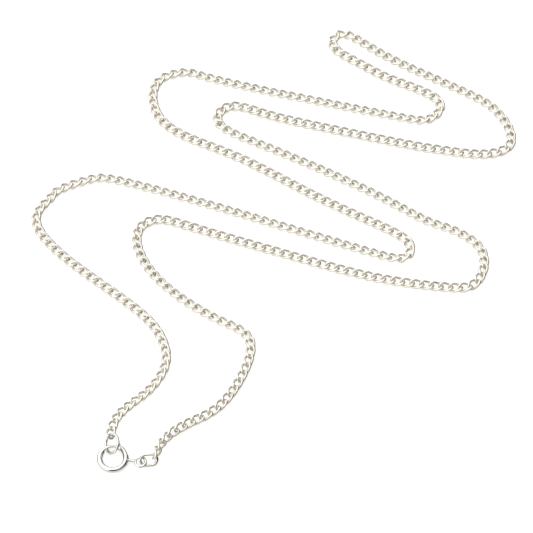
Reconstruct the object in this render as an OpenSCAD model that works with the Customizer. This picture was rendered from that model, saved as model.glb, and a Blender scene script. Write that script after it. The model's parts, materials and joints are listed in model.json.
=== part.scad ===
// Fine curb chain necklace, laid down in bends on a flat surface with its spring ring clasp closed

/* [Layout] */
// Width of the laid-out necklace, across its bends
laid_width = 92; // [90:0.1:110]
// Depth of the laid-out necklace, from the clasp to the far bend
laid_depth = 99.9; // [98:0.1:120]

/* [Chain] */
// Step from one link to the next along the chain
link_pitch = 1.81; // [1.74:0.01:1.9]
// Width across one link
link_width = 1.95; // [1.88:0.01:2.02]
// Diameter of the wire of a link
link_wire = 0.48; // [0.44:0.01:0.5]
// Turn of each end of a link about the chain's axis, in degrees
link_twist = 55; // [48:1:60]
// Free play between the wires of two links
link_play = 0.16; // [0.12:0.01:0.2]
// Roll of the lying chain about its own axis, in degrees
chain_lean = -15; // [-60:5:60]
// Number of linked links modelled at each end
end_links = 3; // [2:1:4]

/* [Jump rings] */
// Diameter of the wire of both jump rings
jump_wire = 0.5; // [0.4:0.02:0.56]
// Outer diameter of the round ring on the left end
round_ring_d = 4; // [3.8:0.1:4.4]
// Outer length of the oval ring on the right end
oval_ring_length = 3.54; // [3.4:0.02:3.8]
// Outer width of the oval ring on the right end
oval_ring_width = 2.54; // [2.5:0.02:2.8]

/* [Clasp] */
// Outer diameter of the spring ring
clasp_d = 5.8; // [5.6:0.1:6.2]
// Diameter of the spring ring's tube
tube_d = 1; // [0.9:0.02:1.1]
// Wall of the spring ring's tube
tube_wall = 0.18; // [0.14:0.01:0.22]
// Running clearance of the bolt in the tube
bolt_play = 0.06; // [0.04:0.01:0.08]
// Angle where the tube ends and the opening starts, from the frame's +X axis
opening_from = 64; // [60:1:68]
// Angle where the opening ends
opening_to = 138; // [130:1:142]
// How far the closed bolt reaches into the tube's far end, in degrees
bolt_seat = 5; // [3:1:8]
// How far the bolt slides back, in degrees
bolt_travel = 50; // [30:1:52]
// Diameter of the thumb knob
knob_d = 0.44; // [0.36:0.02:0.5]
// Height of the thumb knob above the tube
knob_rise = 0.3; // [0.2:0.05:0.5]
// Outer diameter of the eye that carries the oval ring
eye_d = 2.4; // [2.3:0.05:2.6]
// Diameter of the wire of the eye
eye_wire = 0.5; // [0.4:0.02:0.54]
// Length of the neck between the tube and the eye
neck_length = 1.05; // [0.8:0.05:1.2]
// Diameter of the neck
neck_d = 0.6; // [0.4:0.05:0.7]

/* [Fits] */
// Clearance between two rings that hang in each other
ring_gap = 0.07; // [0.05:0.01:0.12]
// Clearance between the last modelled link and the run of chain after it
run_gap = 0.12; // [0.1:0.01:0.3]

/* [Hidden] */
$fn = 48;
full_turn = 360;
// How far a cut runs past the end of what it cuts, in degrees
cut_past = 1;

// The bends are drawn at this width and depth, and spread to the laid-out ones
drawn_size = [92, 99.9];
spread = [laid_width / drawn_size.x, laid_depth / drawn_size.y];
function laid(p) = [p.x * spread.x, p.y * spread.y];

// Place of the spring ring's centre on the surface, and the direction of its eye
clasp_at = laid([-29.7, -47]);
eye_angle = -10;

// Points that guide the chain's route, from the left end round to the right end
drawn_points = [
    [-30, -41.5], [-29.5, -39.2], [-27.3, -36.1], [-22.9, -32.4], [-19.9, -27], [-20.4, -22.3],
    [-23.6, -15.8], [-39.6, -3.9], [-47.2, 5.6], [-42.3, 10.5], [-42.1, 12.2], [-34.6, 15.3],
    [-31.2, 15.3], [-12, 8.9], [1.7, 3.9], [19.3, -2.4], [24.5, -4], [26.5, 0.4], [19.4, 4.4],
    [7.2, 10.8], [-6.8, 20.4], [-17.9, 24.6], [-23.6, 29.6], [-24.1, 38.7], [-16.5, 40.5],
    [-14.8, 39], [3.1, 34.3], [25.3, 29], [29.8, 28], [33.8, 33.7], [21.6, 38.2], [16.3, 42.3],
    [9.5, 46.2], [13.2, 51], [19.4, 44.4], [37.6, 34.9], [43, 31.2], [46.7, 22.5], [40.1, 20],
    [32.1, 21.6], [26.9, 22.4], [6.9, 27.5], [-2.2, 29.9], [-9.2, 33.4], [-12.9, 27.7], [-4, 23.6],
    [10.7, 16.2], [21.9, 9.7], [29.1, 4.6], [32.5, 4], [40.5, -1], [38, -9.8], [33.4, -10.1],
    [19.1, -8.1], [6.3, -3.8], [-16.4, 3.9], [-21.9, 6.4], [-26.5, 4], [-26.1, -1.9], [-21.6, -9.4],
    [-10.4, -17.8], [-2.1, -20.4], [-9, -36.2], [-15.4, -39], [-20, -42.5], [-21.5, -45.5]];

guide_points = [for (p = drawn_points) laid(p)];

// Number of rings of each run of chain, and the sides of its section
run_rings = 56;
run_sides = 8;
// Sections round one modelled link, and the sides of its wire
link_sections = 14;
wire_sides = 6;
// Power that squares off the oval of a link
link_square = 0.7;

// Centrelines of the rings
tube_ring_r = (clasp_d - tube_d) / 2;
round_ring_r = (round_ring_d - jump_wire) / 2;
oval_arc_r = (oval_ring_width - jump_wire) / 2;
oval_half_straight = (oval_ring_length - oval_ring_width) / 2;
eye_ring_r = (eye_d - eye_wire) / 2;
eye_reach = (clasp_d + eye_d) / 2 + neck_length;
bore_d = tube_d - 2 * tube_wall;
bolt_d = bore_d - 2 * bolt_play;
slot_w = knob_d + 4 * bolt_play;
knob_past_mouth = 3;
knob_angle = opening_from + knob_past_mouth;
bolt_tail = 2 * bolt_travel;
knob_half_angle = asin(slot_w / 2 / tube_ring_r);

// The round ring's wire lies under the bolt, so the clasp leans on it and rests on its own far side
uphill = 63;
prop_angle = 123;
tilt = asin((jump_wire + ring_gap + (bolt_d - tube_d) / 2)
            / (tube_ring_r * (1 + cos(prop_angle - uphill))));
clasp_z = tube_ring_r * sin(tilt) + tube_d / 2;
tube_top = clasp_z + tube_ring_r * sin(tilt) + tube_d / 2;
eye_top = clasp_z + eye_reach * sin(tilt) * cos(eye_angle - uphill) + eye_wire / 2;

// Each jump ring lies with one side on the surface and crosses over the clasp with the other.
// The crossing is that many radii from the low side, and the bearing is seen from what carries it
round_ring_crossing = 1.095;
round_ring_lean = -asin((tube_top + ring_gap) / (round_ring_crossing * round_ring_r));
round_ring_heading = 110;
round_ring_bearing = 93.7;
round_ring_inside = 1.64;
round_ring_at = clasp_at + (tube_ring_r + round_ring_r - round_ring_inside)
    * [cos(round_ring_bearing), sin(round_ring_bearing)];
round_ring_z = round_ring_r * sin(-round_ring_lean) + jump_wire / 2;
oval_ring_crossing = 1.6;
oval_ring_lean = asin((eye_top + ring_gap) / (oval_ring_crossing * oval_arc_r));
oval_ring_heading = 5.3;
oval_ring_bearing = 11.8;
oval_ring_inside = 0.93;
eye_at = clasp_at + eye_reach * [cos(eye_angle), sin(eye_angle)];
oval_ring_at = eye_at + (eye_ring_r + oval_arc_r + oval_half_straight - oval_ring_inside)
    * [cos(oval_ring_bearing), sin(oval_ring_bearing)];
oval_ring_z = oval_arc_r * sin(oval_ring_lean) + jump_wire / 2;

// A point of a flat ring once it leans about its heading and turns to it
function ring_point(p, at, z, lean, heading) =
    [at.x + p.x * cos(heading) - p.y * cos(lean) * sin(heading),
     at.y + p.x * sin(heading) + p.y * cos(lean) * cos(heading),
     z + p.y * sin(lean)];

// The first and last link hook the jump rings from inside, a wire's thickness in
hook_inside = (jump_wire + link_wire) / 2 + ring_gap;
left_heading = 86;
left_hook_angle = -7;
left_hook = ring_point(round_ring_r * [cos(left_hook_angle), sin(left_hook_angle)], round_ring_at,
                       round_ring_z, round_ring_lean, round_ring_heading);
left_tip = left_hook - hook_inside * [cos(left_heading), sin(left_heading), 0];
right_heading = 74;
right_hook_angle = 45;
right_hook = ring_point([oval_half_straight, 0]
                        + oval_arc_r * [cos(right_hook_angle), sin(right_hook_angle)],
                        oval_ring_at, oval_ring_z, oval_ring_lean, oval_ring_heading);
right_tip = right_hook - hook_inside * [cos(right_heading), sin(right_heading), 0];

// The route is a smooth cubic curve that the guide points pull along, from tip to tip
left_start = [left_tip.x, left_tip.y];
right_end = [right_tip.x, right_tip.y];
last_guide = guide_points[len(guide_points) - 1];
guide = concat([2 * left_start - guide_points[0], left_start], guide_points,
               [right_end, 2 * right_end - last_guide]);
curve_degree = 3;
spans = len(guide) - curve_degree;
function cubic(a, b, c, d, t) =
    ((1 - t) ^ 3 * a + (3 * t ^ 3 - 6 * t ^ 2 + 4) * b
     + (-3 * t ^ 3 + 3 * t ^ 2 + 3 * t + 1) * c + t ^ 3 * d) / 6;
function route_at(u) =
    let (i = max(0, min(floor(u), spans - 1)))
    cubic(guide[i], guide[i + 1], guide[i + 2], guide[i + 3], u - i);
span_steps = 10;
route_steps = [for (k = [0 : spans * span_steps]) k / span_steps];
route = [for (u = route_steps) route_at(u)];
route_runs = [for (k = 0, s = 0; k < len(route);
                   s = s + (k + 1 < len(route) ? norm(route[k + 1] - route[k]) : 0), k = k + 1) s];
run_to_step = [for (k = [0 : len(route) - 1]) [route_runs[k], route_steps[k]]];
step_to_run = [for (k = [0 : len(route) - 1]) [route_steps[k], route_runs[k]]];
route_length = route_runs[len(route) - 1];
function place_at(s) = route_at(lookup(s, run_to_step));
// Half the stretch of the route over which a heading or a slope is taken
reach = 0.05;
function heading_at(s) =
    let (d = place_at(s + reach) - place_at(s - reach))
    atan2(d.y, d.x);

// The wire of a link is an oval whose two ends turn opposite ways about the chain's axis
link_half = (link_pitch + link_wire + link_play) / 2;
link_side = (link_width - link_wire) / 2;
link_count = round((route_length - 2 * link_half) / link_pitch) + 1;
link_step = (route_length - 2 * link_half) / (link_count - 1);
function squared(v) = sign(v) * abs(v) ^ link_square;
function link_point(t) =
    let (along = squared(cos(t)), out = link_side * squared(sin(t)))
    [link_half * along, out * cos(-link_twist * along), out * sin(-link_twist * along)];
function rolled(p, roll) =
    [p.x, p.y * cos(roll) - p.z * sin(roll), p.y * sin(roll) + p.z * cos(roll)];
link_thick = link_wire + 2 * max([for (t = [0 : 5 : 90]) abs(link_point(t).z)]);

// The chain lies on its lowest wire, climbs to each jump ring and rolls to hook it
chain_z = link_wire / 2 + max([for (t = [0 : 5 : 355]) -rolled(link_point(t), chain_lean).z]);
climb_links = 8;
climb_length = climb_links * link_pitch;
left_roll = 0;
right_roll = -75;
function fade(s) = let (t = max(0, min(1, 1 - s / climb_length))) t * t * (3 - 2 * t);
function chain_z_at(s) =
    chain_z + (left_tip.z - chain_z) * fade(s) + (right_tip.z - chain_z) * fade(route_length - s);
function roll_at(s) =
    chain_lean + (left_roll - chain_lean) * fade(s)
    + (right_roll - chain_lean) * fade(route_length - s);
function climb_at(s) = (chain_z_at(s + reach) - chain_z_at(s - reach)) / (2 * reach);
function on_route(p, s) =
    let (at = place_at(s), h = heading_at(s), q = rolled(p, roll_at(s)))
    [at.x + q.x * cos(h) - q.y * sin(h),
     at.y + q.x * sin(h) + q.y * cos(h),
     chain_z_at(s) + q.z + q.x * climb_at(s)];

// Rings of points joined into a closed tube, or into a loop that closes on itself
function ring_faces(rings, sides, closed) =
    [for (i = [0 : rings - (closed ? 1 : 2)], j = [0 : sides - 1])
        [i * sides + j, (i + 1) % rings * sides + j,
         (i + 1) % rings * sides + (j + 1) % sides, i * sides + (j + 1) % sides]];
function cap_faces(rings, sides) =
    [[for (j = [0 : sides - 1]) j], [for (j = [sides - 1 : -1 : 0]) (rings - 1) * sides + j]];

// Place along the route where the chain's plain runs start, end and meet
modelled_length = 2 * link_half + (end_links - 1) * link_step + link_wire / 2 + run_gap;
run_start = lookup(modelled_length, run_to_step);
run_meet = lookup(route_length / 2, run_to_step);
run_end = lookup(route_length - modelled_length, run_to_step);

// A run of chain has the outline of its links, with a ring of points at even steps of the curve
module run_of_chain(from, to) {
    corner = 180 / run_sides;
    section = [for (j = [0 : run_sides - 1])
        [0, link_width / 2 * cos(corner * (2 * j + 1)), link_thick / 2 * sin(corner * (2 * j + 1))]];
    points = [for (k = [0 : run_rings - 1])
        let (s = lookup(from + (to - from) * k / (run_rings - 1), step_to_run))
        for (p = section) on_route(p, s)];
    polyhedron(points, concat(ring_faces(run_rings, run_sides, false),
                              cap_faces(run_rings, run_sides)), convexity = 10);
}

module curb_link(s) {
    points = [for (i = [0 : link_sections - 1])
        let (t = 360 * (i + 0.5) / link_sections,
             p = link_point(t),
             ahead = link_point(t + 1) - link_point(t - 1),
             along = ahead / norm(ahead),
             across = p - (p * along) * along,
             out = across / norm(across),
             side = cross(along, out))
        for (j = [0 : wire_sides - 1])
            on_route(p + link_wire / 2 * (out * cos(360 * j / wire_sides)
                                          + side * sin(360 * j / wire_sides)), s)];
    polyhedron(points, ring_faces(link_sections, wire_sides, true), convexity = 4);
}

module chain_left() {
    color("silver") run_of_chain(run_start, run_meet);
}

module chain_right() {
    color("silver") run_of_chain(run_meet, run_end);
}

module end_links_left() {
    color("lightgray") for (i = [0 : end_links - 1]) curb_link(link_half + i * link_step);
}

module end_links_right() {
    color("lightgray") for (i = [0 : end_links - 1])
        curb_link(route_length - link_half - i * link_step);
}

module jump_ring_left() {
    color("gainsboro")
    translate([round_ring_at.x, round_ring_at.y, round_ring_z])
    rotate([round_ring_lean, 0, round_ring_heading])
    rotate_extrude() translate([round_ring_r, 0]) circle(d = jump_wire);
}

module jump_ring_right() {
    color("gainsboro")
    translate([oval_ring_at.x, oval_ring_at.y, oval_ring_z])
    rotate([oval_ring_lean, 0, oval_ring_heading])
    for (turn = [0, 180]) rotate([0, 0, turn]) {
        translate([oval_half_straight, 0, 0]) rotate([0, 0, -90])
            rotate_extrude(angle = 180) translate([oval_arc_r, 0]) circle(d = jump_wire);
        translate([-oval_half_straight, oval_arc_r, 0]) rotate([0, 90, 0])
            cylinder(d = jump_wire, h = 2 * oval_half_straight);
    }
}

// The clasp's own plane, with its centre at the origin, laid on the surface and leant uphill
module clasp_plane() {
    translate([clasp_at.x, clasp_at.y, clasp_z])
        rotate([0, 0, uphill]) rotate([0, -tilt, 0]) rotate([0, 0, -uphill]) children();
}

module ring_sector(from, to, d) {
    rotate([0, 0, from]) rotate_extrude(angle = to - from) translate([tube_ring_r, 0]) circle(d = d);
}

module spring_ring() {
    color("silver") clasp_plane() difference() {
        union() {
            ring_sector(opening_to, opening_from + full_turn, tube_d);
            rotate([0, 0, eye_angle]) {
                translate([eye_reach, 0, 0])
                    rotate_extrude() translate([eye_ring_r, 0]) circle(d = eye_wire);
                translate([tube_ring_r + bore_d / 2 + tube_wall / 3, 0, 0]) rotate([0, 90, 0])
                    cylinder(d = neck_d, h = eye_reach - eye_ring_r - tube_ring_r - bore_d / 2
                                             - tube_wall / 3);
            }
        }
        ring_sector(opening_to - cut_past, opening_from + full_turn + cut_past, bore_d);
        // The slot that the knob slides along, through the tube's outer wall
        rotate([0, 0, knob_angle - bolt_travel - knob_half_angle])
            rotate_extrude(angle = bolt_travel + 2 * knob_half_angle)
            translate([tube_ring_r, -slot_w / 2]) square([tube_d, slot_w]);
    }
}

module bolt() {
    color("whitesmoke") clasp_plane() {
        ring_sector(knob_angle - bolt_tail, opening_to + bolt_seat, bolt_d);
        rotate([0, 0, knob_angle]) translate([tube_ring_r, 0, 0]) rotate([0, 90, 0])
            cylinder(d = knob_d, h = tube_d / 2 + knob_rise);
    }
}

chain_left();
chain_right();
end_links_left();
end_links_right();
jump_ring_left();
jump_ring_right();
spring_ring();
bolt();
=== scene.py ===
# Fine silver curb chain necklace, laid down in bends with its spring ring clasp closed
import json
import math

import bmesh
import bpy
import numpy as np
from mathutils import Matrix, Vector


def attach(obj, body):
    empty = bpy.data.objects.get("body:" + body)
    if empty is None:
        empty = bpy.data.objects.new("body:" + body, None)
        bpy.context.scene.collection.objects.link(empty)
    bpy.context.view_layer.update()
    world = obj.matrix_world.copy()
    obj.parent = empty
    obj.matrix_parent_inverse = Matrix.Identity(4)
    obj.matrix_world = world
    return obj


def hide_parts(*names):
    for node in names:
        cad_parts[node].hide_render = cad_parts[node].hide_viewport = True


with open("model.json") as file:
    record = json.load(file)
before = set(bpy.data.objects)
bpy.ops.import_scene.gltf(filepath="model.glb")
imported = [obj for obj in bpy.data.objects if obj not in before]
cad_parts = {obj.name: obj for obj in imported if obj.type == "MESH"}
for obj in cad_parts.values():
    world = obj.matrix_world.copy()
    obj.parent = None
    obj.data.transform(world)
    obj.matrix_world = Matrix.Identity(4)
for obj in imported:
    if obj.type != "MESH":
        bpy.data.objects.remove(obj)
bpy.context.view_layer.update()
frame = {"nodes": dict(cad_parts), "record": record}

# The camera looks down at the surface from in front
view = dict(
    aim=(-0.0017, -0.0046, 0.0),    # point of the surface in the middle of the picture
    lift=56.3,                      # degrees above the surface
    distance=0.82,
    lens=295.2,
    sensor=36,
    clip=(0.05, 20),
)


def makeCamera():
    lift = math.radians(view["lift"])
    back = Vector((0, -math.cos(lift), math.sin(lift)))
    lens = bpy.data.cameras.new("camera")
    lens.sensor_width = view["sensor"]
    lens.lens = view["lens"]
    lens.clip_start, lens.clip_end = view["clip"]
    camera = bpy.data.objects.new("camera", lens)
    camera.location = Vector(view["aim"]) + back * view["distance"]
    camera.rotation_euler = back.to_track_quat("Z", "Y").to_euler()
    bpy.context.scene.collection.objects.link(camera)
    bpy.context.scene.camera = camera


makeCamera()
print("camera set")

# A light tent with its bright side on the left, a dark opening towards the viewer, and a pale lower side
tent = dict(
    strength=1.37,
    lightFrom=(-0.62, 0.1, 0.78),
    ramp=(0.1, 0.45),               # cosine to that direction where the dark room turns to the light
    opening=(0.0, -0.866, 0.5),
    openingEdge=(0.96, 0.87),       # cosine to the opening where it turns to the light
    room=0.012,
    horizon=(0.0, 0.12),            # cosine to straight down where the room turns to the ground
    ground=(0.05, 0.62),            # the dim and the bright side of what lies below the horizon
    groundSide=(-0.2, -0.98, 0.0),
    groundEdge=(-0.3, 0.3),         # cosine to that side where the dim turns to the bright
    roomTint=(1.0, 0.93, 0.7),
    lightTint=(1.0, 1.0, 0.995),
    groundTint=(1.0, 0.965, 0.87),
)


def addNode(tree, kind, **inputs):
    node = tree.nodes.new(kind)
    for name, value in inputs.items():
        node.inputs[name].default_value = value
    return node


def ramped(tree, source, start, end, low=0.0, high=1.0):
    node = addNode(tree, "ShaderNodeMapRange")
    node.interpolation_type = "SMOOTHSTEP"
    for name, value in (("From Min", start), ("From Max", end), ("To Min", low), ("To Max", high)):
        node.inputs[name].default_value = value
    tree.links.new(source, node.inputs["Value"])
    return node.outputs["Result"]


def towards(tree, source, direction):
    node = addNode(tree, "ShaderNodeVectorMath")
    node.operation = "DOT_PRODUCT"
    node.inputs[1].default_value = direction
    tree.links.new(source, node.inputs[0])
    return node.outputs["Value"]


def blended(tree, factor, first, second):
    node = addNode(tree, "ShaderNodeMix")
    node.data_type = "RGBA"
    tree.links.new(factor, node.inputs["Factor"])
    for socket, colour in ((node.inputs[6], first), (node.inputs[7], second)):
        if isinstance(colour, tuple):
            socket.default_value = (*colour, 1)
        else:
            tree.links.new(colour, socket)
    return node.outputs[2]


def makeTent():
    world = bpy.data.worlds.new("tent")
    bpy.context.scene.world = world
    world.use_nodes = True
    tree = world.node_tree
    direction = addNode(tree, "ShaderNodeTexCoord").outputs["Generated"]
    lit = addNode(tree, "ShaderNodeMath")
    lit.operation = "MULTIPLY"
    for socket, toward, edge in ((lit.inputs[0], "lightFrom", "ramp"),
                                 (lit.inputs[1], "opening", "openingEdge")):
        tree.links.new(ramped(tree, towards(tree, direction, tent[toward]), *tent[edge]), socket)
    below = ramped(tree, towards(tree, direction, (0, 0, -1)), *tent["horizon"])
    bright = ramped(tree, towards(tree, direction, tent["groundSide"]), *tent["groundEdge"])
    room, dim, pale = ([level * part for part in tint] for level, tint in (
        (tent["room"], tent["roomTint"]), (tent["ground"][0], tent["roomTint"]),
        (tent["ground"][1], tent["groundTint"])))
    above = blended(tree, lit.outputs[0], tuple(room), tent["lightTint"])
    ground = blended(tree, bright, tuple(dim), tuple(pale))
    sky = tree.nodes["Background"]
    tree.links.new(blended(tree, below, above, ground), sky.inputs["Color"])
    sky.inputs["Strength"].default_value = tent["strength"]


makeTent()
bpy.context.scene.view_settings.view_transform = "Standard"
print("light set")

# White paper on a light table, so bright that the soft shadows nearly wash out
paper = dict(size=3.0, white=(0.93, 0.93, 0.925), rough=0.7, specular=0.2, glow=0.5,
             fibre=900.0, detail=3.0, relief=0.15, grain=0.00001)


def paperMaterial():
    material = bpy.data.materials.new("white_paper")
    material.use_nodes = True
    tree = material.node_tree
    link = tree.links.new
    shader = tree.nodes["Principled BSDF"]
    shader.inputs["Base Color"].default_value = (*paper["white"], 1)
    shader.inputs["Roughness"].default_value = paper["rough"]
    shader.inputs["Specular IOR Level"].default_value = paper["specular"]
    shader.inputs["Emission Color"].default_value = (1, 1, 1, 1)
    shader.inputs["Emission Strength"].default_value = paper["glow"]
    place = addNode(tree, "ShaderNodeTexCoord")
    grain = addNode(tree, "ShaderNodeTexNoise", Scale=paper["fibre"], Detail=paper["detail"])
    link(place.outputs["Object"], grain.inputs["Vector"])
    bump = addNode(tree, "ShaderNodeBump", Strength=paper["relief"], Distance=paper["grain"])
    link(grain.outputs["Fac"], bump.inputs["Height"])
    link(bump.outputs["Normal"], shader.inputs["Normal"])
    return material


def newPiece(name, bm, material):
    mesh = bpy.data.meshes.new(name)
    bm.to_mesh(mesh)
    bm.free()
    for face in mesh.polygons:
        face.use_smooth = True
    mesh.materials.append(material)
    piece = bpy.data.objects.new(name, mesh)
    bpy.context.scene.collection.objects.link(piece)
    return piece


def makePaper():
    bm = bmesh.new()
    bmesh.ops.create_grid(bm, x_segments=1, y_segments=1, size=paper["size"] / 2)
    sheet = newPiece("paper", bm, paperMaterial())
    sheet.visible_glossy = False    # the metal mirrors the tent's lower side instead of the glowing sheet


makePaper()

# Silver: a warm white metal with hairline scratches and dull patches. On the chain, painted shade darkens
# each link's middle, where the links overlap; on the clasp the bore is darker and the solder tarnished. The
# chain
#  is rougher than polished silver, to look as soft as in the photo
silverFinishes = {
    # One silver in three copies: the chain's is painted lighter, as painted light, and the clasp's and
    # rings' darker, as painted shade for more contrast
    "chain_silver": dict(bright=(0.975, 0.95, 0.885), dullAndShaded=(0.91, 0.86, 0.74),
                         polish=(0.48, 0.58), grain=2600.0),
    "clasp_silver": dict(bright=(0.84, 0.835, 0.82), dullAndShaded=(0.68, 0.64, 0.57),
                         polish=(0.04, 0.12), grain=1400.0),
    "ring_silver": dict(bright=(0.86, 0.85, 0.8), dullAndShaded=(0.68, 0.63, 0.52),
                        polish=(0.06, 0.16), grain=1800.0),
}
# Dull patches, coarser than the hairlines, where the noise passes the first level, fullest at the second
patch = dict(scale=0.25, detail=4.0, rough=0.6, levels=(0.45, 0.8), most=0.35)
hairlines = dict(stretch=(1, 14, 5), turn=(0.3, 0.2, 0.6), detail=3.0, relief=0.25, depth=0.000004)


def silverMaterial(slot, shadeAndTarnish):
    look = silverFinishes[slot]
    material = bpy.data.materials.new(slot if shadeAndTarnish else slot + "_plain")
    material.use_nodes = True
    tree = material.node_tree
    link = tree.links.new
    shader = tree.nodes["Principled BSDF"]
    shader.inputs["Metallic"].default_value = 1.0
    place = addNode(tree, "ShaderNodeTexCoord")
    cloud = addNode(tree, "ShaderNodeTexNoise", Scale=look["grain"] * patch["scale"],
                    Detail=patch["detail"], Roughness=patch["rough"])
    link(place.outputs["Object"], cloud.inputs["Vector"])
    patches = addNode(tree, "ShaderNodeMapRange")
    patches.inputs["From Min"].default_value = patch["levels"][0]
    patches.inputs["From Max"].default_value = patch["levels"][1]
    patches.inputs["To Max"].default_value = patch["most"]
    link(cloud.outputs["Fac"], patches.inputs["Value"])
    patchAndShade = patches.outputs["Result"]
    # The attribute holds painted shade on the chain's links, and on the clasp a darker bore and tarnished
    # solder; it darkens and dulls the silver like the patches
    if shadeAndTarnish:
        shadeAndTarnishNode = addNode(tree, "ShaderNodeAttribute")
        shadeAndTarnishNode.attribute_name = "shadeAndTarnish"
        both = addNode(tree, "ShaderNodeMath")
        both.operation = "MAXIMUM"
        link(shadeAndTarnishNode.outputs["Fac"], both.inputs[0])
        link(patchAndShade, both.inputs[1])
        patchAndShade = both.outputs[0]
    colour = addNode(tree, "ShaderNodeMix")
    colour.data_type = "RGBA"
    link(patchAndShade, colour.inputs["Factor"])
    colour.inputs[6].default_value = (*look["bright"], 1)
    colour.inputs[7].default_value = (*look["dullAndShaded"], 1)
    link(colour.outputs[2], shader.inputs["Base Color"])
    polish = addNode(tree, "ShaderNodeMapRange")
    polish.inputs["To Min"].default_value = look["polish"][0]
    polish.inputs["To Max"].default_value = look["polish"][1]
    link(patchAndShade, polish.inputs["Value"])
    link(polish.outputs["Result"], shader.inputs["Roughness"])
    # Hairlines: one fine noise, stretched along a slanted direction
    stretch = addNode(tree, "ShaderNodeMapping")
    stretch.inputs["Scale"].default_value = hairlines["stretch"]
    stretch.inputs["Rotation"].default_value = hairlines["turn"]
    link(place.outputs["Object"], stretch.inputs["Vector"])
    hairline = addNode(tree, "ShaderNodeTexNoise", Scale=look["grain"], Detail=hairlines["detail"])
    link(stretch.outputs["Vector"], hairline.inputs["Vector"])
    bump = addNode(tree, "ShaderNodeBump", Strength=hairlines["relief"], Distance=hairlines["depth"])
    link(hairline.outputs["Fac"], bump.inputs["Height"])
    link(bump.outputs["Normal"], shader.inputs["Normal"])
    return material


for slotName in silverFinishes:
    silverFinishes[slotName]["plain"] = silverMaterial(slotName, shadeAndTarnish=False)
    silverFinishes[slotName]["aged"] = silverMaterial(slotName, shadeAndTarnish=True)
for row in frame["record"]["subparts"]:
    node = frame["nodes"][row["node"]]
    node.data.materials.clear()
    node.data.materials.append(silverFinishes[row["material_slot"]]["plain"])
print("silver finishes made")

# The chain: every link is an oval of wire with its two ends turned opposite ways, linked into the next
chain = dict(
    pitch=0.00181,
    width=0.00195,
    wire=0.00048,
    twist=55,                       # degrees at each end of a link
    play=0.00016,                   # between the wires of two links
    square=0.7,                     # power that squares off the oval
    lean=-15,                       # roll of the lying chain
    lift=0.0007456,                 # height of its middle above the surface
    endRolls=(0, -75),              # roll where it hooks the round ring, and the oval one
    endPitches=8,                   # pitches over which it rolls and climbs to them
    spanSteps=10,                   # samples of the route from one point that pulls it to the next
    near=0.00005,                   # reach to both sides over which its direction is taken
    sections=12,
    sides=6,
    form=1.3,                       # size of the unbent ring of wire, in side widths
    swell=0.75,                     # share by which corners start further out
    shadeAndTarnish=(0.3, 0.85),             # shares of half the width between which the painted shade fades
    # strength of the painted shade near the link's middle, where the links overlap
    shadeAndTarnishLevel=0.75,
)
# Points that pull the route, from tip to tip, and the tips with their heights
leftTip = (-0.0303717, -0.0433768, 0.0017971)
rightTip = (-0.0221052, -0.0475078, 0.0015069)
routePoints = [
    (-0.0300, -0.0415), (-0.0295, -0.0392), (-0.0273, -0.0361), (-0.0229, -0.0324), (-0.0199, -0.0270),
    (-0.0204, -0.0223), (-0.0236, -0.0158), (-0.0396, -0.0039), (-0.0472, 0.0056), (-0.0423, 0.0105),
    (-0.0421, 0.0122), (-0.0346, 0.0153), (-0.0312, 0.0153), (-0.0120, 0.0089), (0.0017, 0.0039),
    (0.0193, -0.0024), (0.0245, -0.0040), (0.0265, 0.0004), (0.0194, 0.0044), (0.0072, 0.0108),
    (-0.0068, 0.0204), (-0.0179, 0.0246), (-0.0236, 0.0296), (-0.0241, 0.0387), (-0.0165, 0.0405),
    (-0.0148, 0.0390), (0.0031, 0.0343), (0.0253, 0.0290), (0.0298, 0.0280), (0.0338, 0.0337),
    (0.0216, 0.0382), (0.0163, 0.0423), (0.0095, 0.0462), (0.0132, 0.0510), (0.0194, 0.0444),
    (0.0376, 0.0349), (0.0430, 0.0312), (0.0467, 0.0225), (0.0401, 0.0200), (0.0321, 0.0216),
    (0.0269, 0.0224), (0.0069, 0.0275), (-0.0022, 0.0299), (-0.0092, 0.0334), (-0.0129, 0.0277),
    (-0.0040, 0.0236), (0.0107, 0.0162), (0.0219, 0.0097), (0.0291, 0.0046), (0.0325, 0.0040),
    (0.0405, -0.0010), (0.0380, -0.0098), (0.0334, -0.0101), (0.0191, -0.0081), (0.0063, -0.0038),
    (-0.0164, 0.0039), (-0.0219, 0.0064), (-0.0265, 0.0040), (-0.0261, -0.0019), (-0.0216, -0.0094),
    (-0.0104, -0.0178), (-0.0021, -0.0204), (-0.0090, -0.0362), (-0.0154, -0.0390), (-0.0200, -0.0425),
    (-0.0215, -0.0455),
]

halfLink = (chain["pitch"] + chain["wire"] + chain["play"]) / 2
sideLink = (chain["width"] - chain["wire"]) / 2


def cubicRoute(guide, steps):
    # The same smooth curve that the solid chain follows
    i = np.clip(np.floor(steps).astype(int), 0, len(guide) - 4)
    t = (steps - i)[:, None]
    return ((1 - t) ** 3 * guide[i] + (3 * t ** 3 - 6 * t ** 2 + 4) * guide[i + 1]
            + (-3 * t ** 3 + 3 * t ** 2 + 3 * t + 1) * guide[i + 2] + t ** 3 * guide[i + 3]) / 6


def routeGuide():
    points = np.array(routePoints)
    start, end = np.array(leftTip[:2]), np.array(rightTip[:2])
    return np.vstack([2 * start - points[0], start, points, end, 2 * end - points[-1]])


guide = routeGuide()
routeSteps = np.linspace(0, len(guide) - 3, (len(guide) - 3) * chain["spanSteps"] + 1)
stretches = np.linalg.norm(np.diff(cubicRoute(guide, routeSteps), axis=0), axis=1)
routeRun = np.concatenate([[0], np.cumsum(stretches)])
routeLength = routeRun[-1]
linkCount = round((routeLength - 2 * halfLink) / chain["pitch"]) + 1
linkStep = (routeLength - 2 * halfLink) / (linkCount - 1)


def placeAt(run):
    return cubicRoute(guide, np.array([np.interp(run, routeRun, routeSteps)]))[0]


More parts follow.
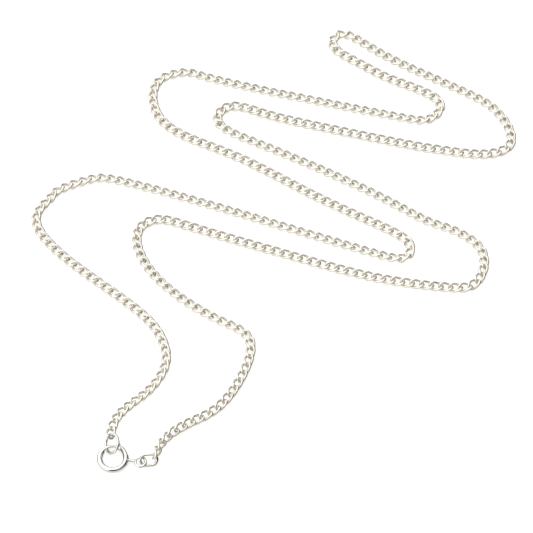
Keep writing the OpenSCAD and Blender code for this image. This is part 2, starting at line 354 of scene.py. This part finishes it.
def smoothStep(value, low, high):
    t = min(max((value - low) / (high - low), 0), 1)
    return t * t * (3 - 2 * t)


def fade(run):
    return smoothStep(1 - run / (chain["endPitches"] * chain["pitch"]), 0, 1)


def heightAt(run):
    low = chain["lift"]
    return low + (leftTip[2] - low) * fade(run) + (rightTip[2] - low) * fade(routeLength - run)


def rollAt(run):
    lean, rolls = chain["lean"], chain["endRolls"]
    return lean + (rolls[0] - lean) * fade(run) + (rolls[1] - lean) * fade(routeLength - run)


def linkPlace(k):
    run, near = halfLink + k * linkStep, chain["near"]
    x, y = placeAt(run)
    ahead = placeAt(run + near) - placeAt(run - near)
    cosine, sine = ahead / np.linalg.norm(ahead)
    climb = (heightAt(run + near) - heightAt(run - near)) / (2 * near)
    lay = Matrix(((cosine, -sine, 0, x), (sine, cosine, 0, y), (climb, 0, 1, heightAt(run)), (0, 0, 0, 1)))
    return lay @ Matrix.Rotation(math.radians(rollAt(run)), 4, "X")


def squared(value):
    return math.copysign(abs(value) ** chain["square"], value)


def wirePoint(angle):
    along = squared(math.cos(angle))
    out = sideLink * squared(math.sin(angle))
    turn = -math.radians(chain["twist"]) * along
    return Vector((halfLink * along, out * math.cos(turn), out * math.sin(turn)))


def swell(bm, share):
    # Subdivision pulls a form in, so each corner starts further out
    moved = []
    for vert in bm.verts:
        around = [edge.other_vert(vert).co for edge in vert.link_edges]
        moved.append(vert.co + share * (vert.co - sum(around, Vector()) / len(around)))
    for vert, place in zip(bm.verts, moved):
        vert.co = place


def makeLinkForm():
    # A ring of wire, bent to the link's oval and twisted
    bm = bmesh.new()
    ring, step = sideLink * chain["form"], 0.02
    inner, outer = (share * chain["width"] / 2 for share in chain["shadeAndTarnish"])
    turn = Matrix.Rotation(math.pi / 2, 4, "X")
    bmesh.ops.create_circle(bm, segments=chain["sides"], radius=chain["wire"] / 2,
                            matrix=Matrix.Translation((ring, 0, 0)) @ turn)
    bmesh.ops.spin(bm, geom=bm.verts[:] + bm.edges[:], cent=(0, 0, 0), axis=(0, 0, 1),
                   angle=2 * math.pi, steps=chain["sections"], use_merge=True)
    bmesh.ops.rotate(bm, verts=bm.verts, matrix=Matrix.Rotation(math.pi / chain["sections"], 3, "Z"))
    bmesh.ops.recalc_face_normals(bm, faces=bm.faces)
    shadeAndTarnish = bm.verts.layers.float.new("shadeAndTarnish")
    for vert in bm.verts:
        angle = math.atan2(vert.co.y, vert.co.x)
        offOut, offSide = math.hypot(vert.co.x, vert.co.y) - ring, vert.co.z
        middle = wirePoint(angle)
        along = (wirePoint(angle + step) - wirePoint(angle - step)).normalized()
        out = (middle - middle.dot(along) * along).normalized()
        vert.co = middle + out * offOut + out.cross(along) * offSide
        # Painted shade: darkest near the link's middle line, where the next links overlap it
        deep = math.hypot(vert.co.y, vert.co.z)
        vert[shadeAndTarnish] = chain["shadeAndTarnishLevel"] * (1 - smoothStep(deep, inner, outer))
    swell(bm, chain["swell"])
    form = bpy.data.meshes.new("link")
    bm.to_mesh(form)
    bm.free()
    return form


def makeChain(name, first, last, *nodes):
    form = makeLinkForm()
    bm = bmesh.new()
    for k in range(first, last):
        before = len(bm.verts)
        bm.from_mesh(form)
        bm.verts.ensure_lookup_table()
        bmesh.ops.transform(bm, matrix=linkPlace(k), verts=bm.verts[before:])
    bpy.data.meshes.remove(form)
    piece = newPiece(name, bm, silverFinishes["chain_silver"]["aged"])
    smooth = piece.modifiers.new("smooth", "SUBSURF")
    smooth.levels = smooth.render_levels = 1
    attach(piece, "necklace")
    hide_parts(*nodes)


halfWay = (linkCount + 1) // 2
makeChain("linked_chain_left", 0, halfWay, "chain_left", "end_links_left")
makeChain("linked_chain_right", halfWay, linkCount, "chain_right", "end_links_right")
faceCount = len(bpy.data.objects["linked_chain_left"].data.polygons)
print("chain made,", linkCount, "links of", faceCount // halfWay, "faces")

# The clasp: a tube ring with a slot, a neck and an eye, and the bolt that slides in the tube
clasp = dict(
    centre=(-0.0297, -0.047, 0.00072),
    leanTowards=63,                 # degrees: the side of the clasp that is lifted
    lean=5.2595,
    ring=0.0024,                    # radius of the tube's middle line
    tube=0.0005,                    # radius of the tube
    wall=0.00018,
    tubeSwell=1.014,                # the section starts a little out, because the smoothing draws it in
    tubeSteps=52,
    sideSteps=6,                    # steps of the section from the slot's edge to the groove
    sides=12,                       # of the eye, the bolt, the neck and the knob
    poleMerge=1e-7,
    mouth=(64, 138),                # degrees where the tube is open
    slotSteps=10,                   # steps of the tube from the mouth to the slot's end
    slotHalf=0.00034,
    seam=0.00003,                   # depth of the groove where the tube's edges meet, on the inside
    seamHalf=4,                     # degrees of the section
    sharpFrom=55,                   # degrees between faces from which an edge of the tube is rounded
    rim=0.00003,
    boreWall=0.6,                   # share of the wall up to which the bore is darker
    solderAt=(0.0029, 0.00408),     # reach of the two soldered places of the neck
    solderBand=0.00012,
    solderHalf=9,                   # degrees to each side of the neck
    shadeAndTarnishLevel=(0.9, 0.5),             # darkening of the bore, and tarnish of the solder
    eyeAt=-10,                      # degrees
    eyeReach=0.00515,
    eyeRing=0.00095,
    eyeWire=0.00025,
    eyeSteps=28,
    bolt=0.00026,                   # radius of the bolt's wire
    boltEnds=(-33, 143),
    boltSteps=36,
    boltRim=0.00012,
    knobAt=67,
)
# Outlines of the turned parts: reach from the clasp's middle, and radius
neckOutline = [
    (0.00278, 0.0), (0.00272, 0.0003), (0.00262, 0.00045), (0.00276, 0.00041), (0.00287, 0.00035),
    (0.00302, 0.00031), (0.00325, 0.000292), (0.00360, 0.000288), (0.00385, 0.000295), (0.00400, 0.00031),
    (0.00411, 0.00030), (0.00420, 0.00024), (0.00426, 0.00013), (0.00428, 0.0),
]
knobOutline = [
    (0.00246, 0.0), (0.00246, 0.00018), (0.00285, 0.000185), (0.00293, 0.00021), (0.00304, 0.00022),
    (0.00313, 0.00021), (0.003185, 0.00015), (0.0032, 0.0),
]


def claspPlace():
    turn = math.radians(clasp["leanTowards"])
    return (Matrix.Translation(clasp["centre"]) @ Matrix.Rotation(turn, 4, "Z")
            @ Matrix.Rotation(-math.radians(clasp["lean"]), 4, "Y") @ Matrix.Rotation(-turn, 4, "Z"))


def evenSection(radius, sides):
    # Corners of a round section, a little out, because the smoothing draws them in
    share = 0.75 + 0.25 * math.cos(2 * math.pi / sides)
    return [(2 * math.pi * (j + 0.5) / sides, radius / share) for j in range(sides)]


def spinWire(bm, section, radius, start, turn, steps):
    # A section, given as angle and radius from its outward side, taken round the Z axis
    verts = bmesh.ops.create_circle(bm, segments=len(section), radius=1)["verts"]
    for vert, (angle, size) in zip(verts, section):
        vert.co = Vector((radius + size * math.cos(angle), 0, size * math.sin(angle)))
    bmesh.ops.rotate(bm, verts=verts, matrix=Matrix.Rotation(math.radians(start), 3, "Z"))
    edges = list({edge for vert in verts for edge in vert.link_edges})
    bmesh.ops.spin(bm, geom=verts + edges, cent=(0, 0, 0), axis=(0, 0, 1), angle=math.radians(turn),
                   steps=steps, use_merge=turn == 360)


def closeEnds(bm, rim):
    # Flat ends with a rounded rim
    rims = [edge for edge in bm.edges if edge.is_boundary]
    bmesh.ops.holes_fill(bm, edges=rims, sides=0)
    bmesh.ops.recalc_face_normals(bm, faces=bm.faces)
    bmesh.ops.bevel(bm, geom=rims, offset=rim, offset_type="OFFSET", segments=3, profile=0.5,
                    affect="EDGES", material=-1)


def spinOutline(outline, angle):
    # A turned form that points out from the clasp's middle
    bm = bmesh.new()
    verts = [bm.verts.new((reach, radius, 0)) for reach, radius in outline]
    edges = [bm.edges.new(pair) for pair in zip(verts, verts[1:])]
    bmesh.ops.spin(bm, geom=verts + edges, cent=(0, 0, 0), axis=(1, 0, 0), angle=2 * math.pi,
                   steps=clasp["sides"], use_merge=True)
    bmesh.ops.remove_doubles(bm, verts=bm.verts, dist=clasp["poleMerge"])
    bmesh.ops.recalc_face_normals(bm, faces=bm.faces)
    bmesh.ops.rotate(bm, verts=bm.verts, matrix=Matrix.Rotation(math.radians(angle), 3, "Z"))
    return bm


def addForm(bm, part):
    form = bpy.data.meshes.new("form")
    part.to_mesh(form)
    part.free()
    bm.from_mesh(form)
    bpy.data.meshes.remove(form)


def finishPiece(name, bm, slotName, body, node, smoothing=1):
    piece = newPiece(name, bm, silverFinishes[slotName]["aged"])
    smooth = piece.modifiers.new("smooth", "SUBSURF")
    smooth.levels = smooth.render_levels = smoothing
    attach(piece, body)
    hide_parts(node)


def makeSpringRing():
    # The section has corners at the slot's edges and a groove for the seam
    half = math.asin(clasp["slotHalf"] / clasp["tube"])
    size, groove = clasp["tube"] * clasp["tubeSwell"], math.radians(clasp["seamHalf"])
    side = [half + (math.pi - groove - half) * j / clasp["sideSteps"] for j in range(clasp["sideSteps"] + 1)]
    section = [(-half / 2, size), (0, size), (half / 2, size)] + [(angle, size) for angle in side]
    section += [(math.pi, size - clasp["seam"])] + [(-angle, size) for angle in reversed(side)]
    tube = bmesh.new()
    opens, closes = clasp["mouth"]
    steps = clasp["tubeSteps"]
    spinWire(tube, section, clasp["ring"], closes, 360 - (closes - opens), steps)
    bmesh.ops.recalc_face_normals(tube, faces=tube.faces)
    slotFrom = opens - clasp["slotSteps"] * (360 - (closes - opens)) / steps
    cut = []
    for face in tube.faces:
        middle = face.calc_center_median()
        angle = math.degrees(math.atan2(middle.y, middle.x))
        inSlot = slotFrom < angle < opens and abs(middle.z) < clasp["slotHalf"]
        if inSlot and middle.xy.length > clasp["ring"]:
            cut.append(face)
    bmesh.ops.delete(tube, geom=cut, context="FACES")
    bmesh.ops.solidify(tube, geom=tube.faces[:], thickness=clasp["wall"])
    sharp = [edge for edge in tube.edges if edge.calc_face_angle(0) > math.radians(clasp["sharpFrom"])]
    bmesh.ops.bevel(tube, geom=sharp, offset=clasp["rim"], offset_type="OFFSET", segments=2, profile=0.5,
                    affect="EDGES", material=-1)
    neck = spinOutline(neckOutline, clasp["eyeAt"])
    eye = bmesh.new()
    spinWire(eye, evenSection(clasp["eyeWire"], clasp["sides"]), clasp["eyeRing"], 0, 360, clasp["eyeSteps"])
    bmesh.ops.recalc_face_normals(eye, faces=eye.faces)
    out = Matrix.Rotation(math.radians(clasp["eyeAt"]), 3, "Z") @ Vector((clasp["eyeReach"], 0, 0))
    bmesh.ops.translate(eye, verts=eye.verts, vec=out)
    bm = bmesh.new()
    for part in (tube, neck, eye):
        addForm(bm, part)
    # The bore is darker, and the solder places are tarnished
    shadeAndTarnish = bm.verts.layers.float.new("shadeAndTarnish")
    boreRadius = clasp["tube"] - clasp["boreWall"] * clasp["wall"]
    for vert in bm.verts:
        reach = vert.co.xy.length
        bore = math.hypot(reach - clasp["ring"], vert.co.z) < boreRadius
        angle = math.degrees(math.atan2(vert.co.y, vert.co.x))
        atNeck = abs(angle - clasp["eyeAt"]) < clasp["solderHalf"]
        solder = atNeck and any(abs(reach - place) < clasp["solderBand"] for place in clasp["solderAt"])
        vert[shadeAndTarnish] = clasp["shadeAndTarnishLevel"][0] if bore else clasp["shadeAndTarnishLevel"][1] if solder else 0.0
    bmesh.ops.transform(bm, matrix=claspPlace(), verts=bm.verts)
    finishPiece("spring_ring_tube", bm, "clasp_silver", "necklace", "spring_ring", smoothing=2)


def makeBolt():
    starts, ends = clasp["boltEnds"]
    bm = bmesh.new()
    spinWire(bm, evenSection(clasp["bolt"], clasp["sides"]), clasp["ring"], starts, ends - starts,
             clasp["boltSteps"])
    closeEnds(bm, clasp["boltRim"])
    addForm(bm, spinOutline(knobOutline, clasp["knobAt"]))
    bmesh.ops.transform(bm, matrix=claspPlace(), verts=bm.verts)
    finishPiece("sliding_bolt", bm, "clasp_silver", "bolt", "bolt")


makeSpringRing()
makeBolt()
print("clasp made")

# The jump rings: one round and one oval, cut from wire, each with its fine butt seam
jumpRings = {
    "round_jump_ring": dict(node="jump_ring_left", centre=(-0.0298620, -0.0444952, 0.00162900), lean=-52.0,
                            heading=110, ring=0.00175, straight=0.0, seamAt=200),
    "oval_jump_ring": dict(node="jump_ring_right", centre=(-0.0231208, -0.0475794, 0.00098626), lean=46.206,
                           heading=5.3, ring=0.00102, straight=0.0005, seamAt=160),
}
jumpWire = dict(radius=0.00025, sides=12, steps=44, gap=0.00002, rim=0.000025)


def makeJumpRing(name):
    shape = jumpRings[name]
    bm = bmesh.new()
    gapTurn = math.degrees(jumpWire["gap"] / shape["ring"])
    spinWire(bm, evenSection(jumpWire["radius"], jumpWire["sides"]), shape["ring"],
             shape["seamAt"] + gapTurn / 2, 360 - gapTurn, jumpWire["steps"])
    closeEnds(bm, jumpWire["rim"])
    for vert in bm.verts:
        vert.co.x += math.copysign(shape["straight"], vert.co.x)
    place = (Matrix.Translation(shape["centre"]) @ Matrix.Rotation(math.radians(shape["heading"]), 4, "Z")
             @ Matrix.Rotation(math.radians(shape["lean"]), 4, "X"))
    bmesh.ops.transform(bm, matrix=place, verts=bm.verts)
    finishPiece(name, bm, "ring_silver", "necklace", shape["node"])


for ringName in jumpRings:
    makeJumpRing(ringName)
print("jump rings made")

print("necklace done")
